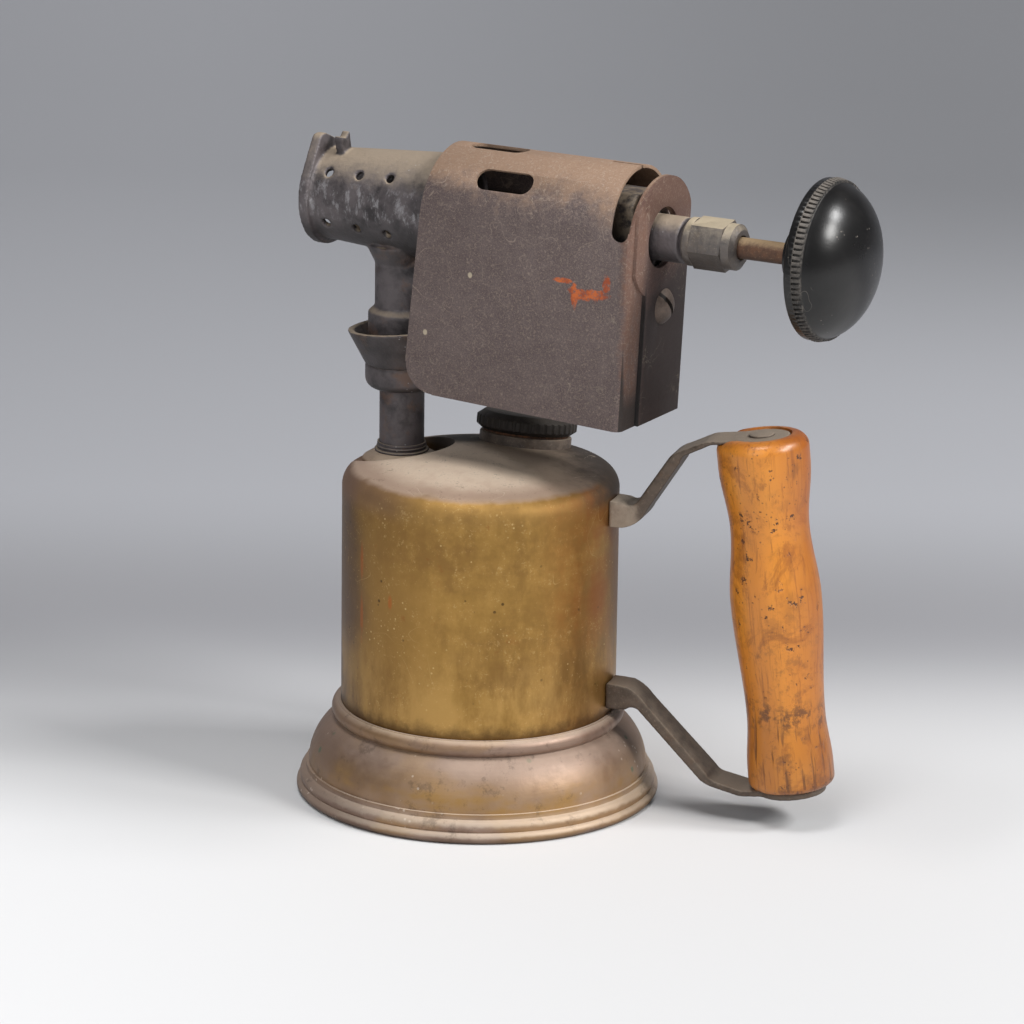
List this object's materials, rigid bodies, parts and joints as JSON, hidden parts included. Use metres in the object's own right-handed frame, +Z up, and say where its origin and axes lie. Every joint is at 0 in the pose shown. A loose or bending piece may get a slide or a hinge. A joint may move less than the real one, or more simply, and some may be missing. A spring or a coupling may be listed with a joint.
{
  "type": "blowtorch",
  "caption": "Hand blowtorch: round brass fuel tank on a flared foot, cast burner under a folded wind shield, needle valve with a domed knob, wooden grip on steel brackets.",
  "frame": {"origin": "on the tank axis at the ground, the middle of the foot's rest ring", "axes": "+Z up along the tank axis, the flame leaves towards -X and the knob is at +X, +Y to the far side"},
  "size_m": [0.1833, 0.111, 0.2039],
  "materials": {
    "tank_brass": "aged drawn brass, gold-brown with mottled stains",
    "foot_brass": "spun brass, purple-brown tarnish with worn gold patches",
    "burner_iron": "rough sooty cast iron, dusty on top",
    "wick_cotton": "twisted cotton",
    "jet_brass": "turned brass",
    "shield_steel": "heat-oxidised sheet steel, speckled and rusty",
    "screw_steel": "plain steel",
    "nut_brass": "dull dusty brass",
    "packing_fibre": "graphited packing",
    "spindle_steel": "rusty turned steel",
    "knob_plastic": "glossy black moulding",
    "filler_brass": "dark dusty brass",
    "washer_leather": "oiled leather",
    "bracket_steel": "grey-brown forged steel",
    "grip_wood": "turned hardwood with worn varnish"
  },
  "bodies": {
    "torch": {"tank_shell": "tank_brass", "tank_bottom": "tank_brass", "foot_skirt": "foot_brass", "riser_boss": "foot_brass", "riser_collar": "burner_iron", "riser_tube": "burner_iron", "wick": "wick_cotton", "burner_casting": "burner_iron", "priming_cup": "burner_iron", "jet_nozzle": "jet_brass", "windshield": "shield_steel", "shield_screw": "screw_steel", "gland_nut": "nut_brass", "gland_packing": "packing_fibre", "filler_neck": "filler_brass", "upper_bracket": "bracket_steel", "lower_bracket": "bracket_steel", "handle_grip": "grip_wood", "handle_rod": "bracket_steel", "rod_burr": "bracket_steel"},
    "needle": {"valve_needle": "screw_steel"},
    "knob": {"valve_spindle": "spindle_steel", "knob_insert": "jet_brass", "control_knob": "knob_plastic"},
    "cap_seal": {"filler_washer": "washer_leather"},
    "cap": {"filler_cap": "filler_brass"}
  },
  "joints": [
    {"name": "needle_travel", "type": "slide", "parent": "torch", "child": "needle", "axis": [1, 0, 0], "range_m": [0, 0.00121]},
    {"name": "knob_turn", "type": "hinge", "parent": "needle", "child": "knob", "pos_m": [0.1, 0, 0.18], "axis": [1, 0, 0], "range_deg": [0, 540]},
    {"name": "cap_rise", "type": "slide", "parent": "torch", "child": "cap_seal", "axis": [0.011, 0.1573, 0.9875], "range_m": [0, 0.00601]},
    {"name": "cap_turn", "type": "hinge", "parent": "cap_seal", "child": "cap", "pos_m": [0.00167, 0.02394, 0.1046], "axis": [0.011, 0.1573, 0.9875], "range_deg": [0, 1440]}
  ],
  "couplings": [
    {"joint": "needle_travel", "follows": "knob_turn", "m_per_rad": 0.00012732},
    {"joint": "cap_rise", "follows": "cap_turn", "m_per_rad": 0.00023873}
  ]
}
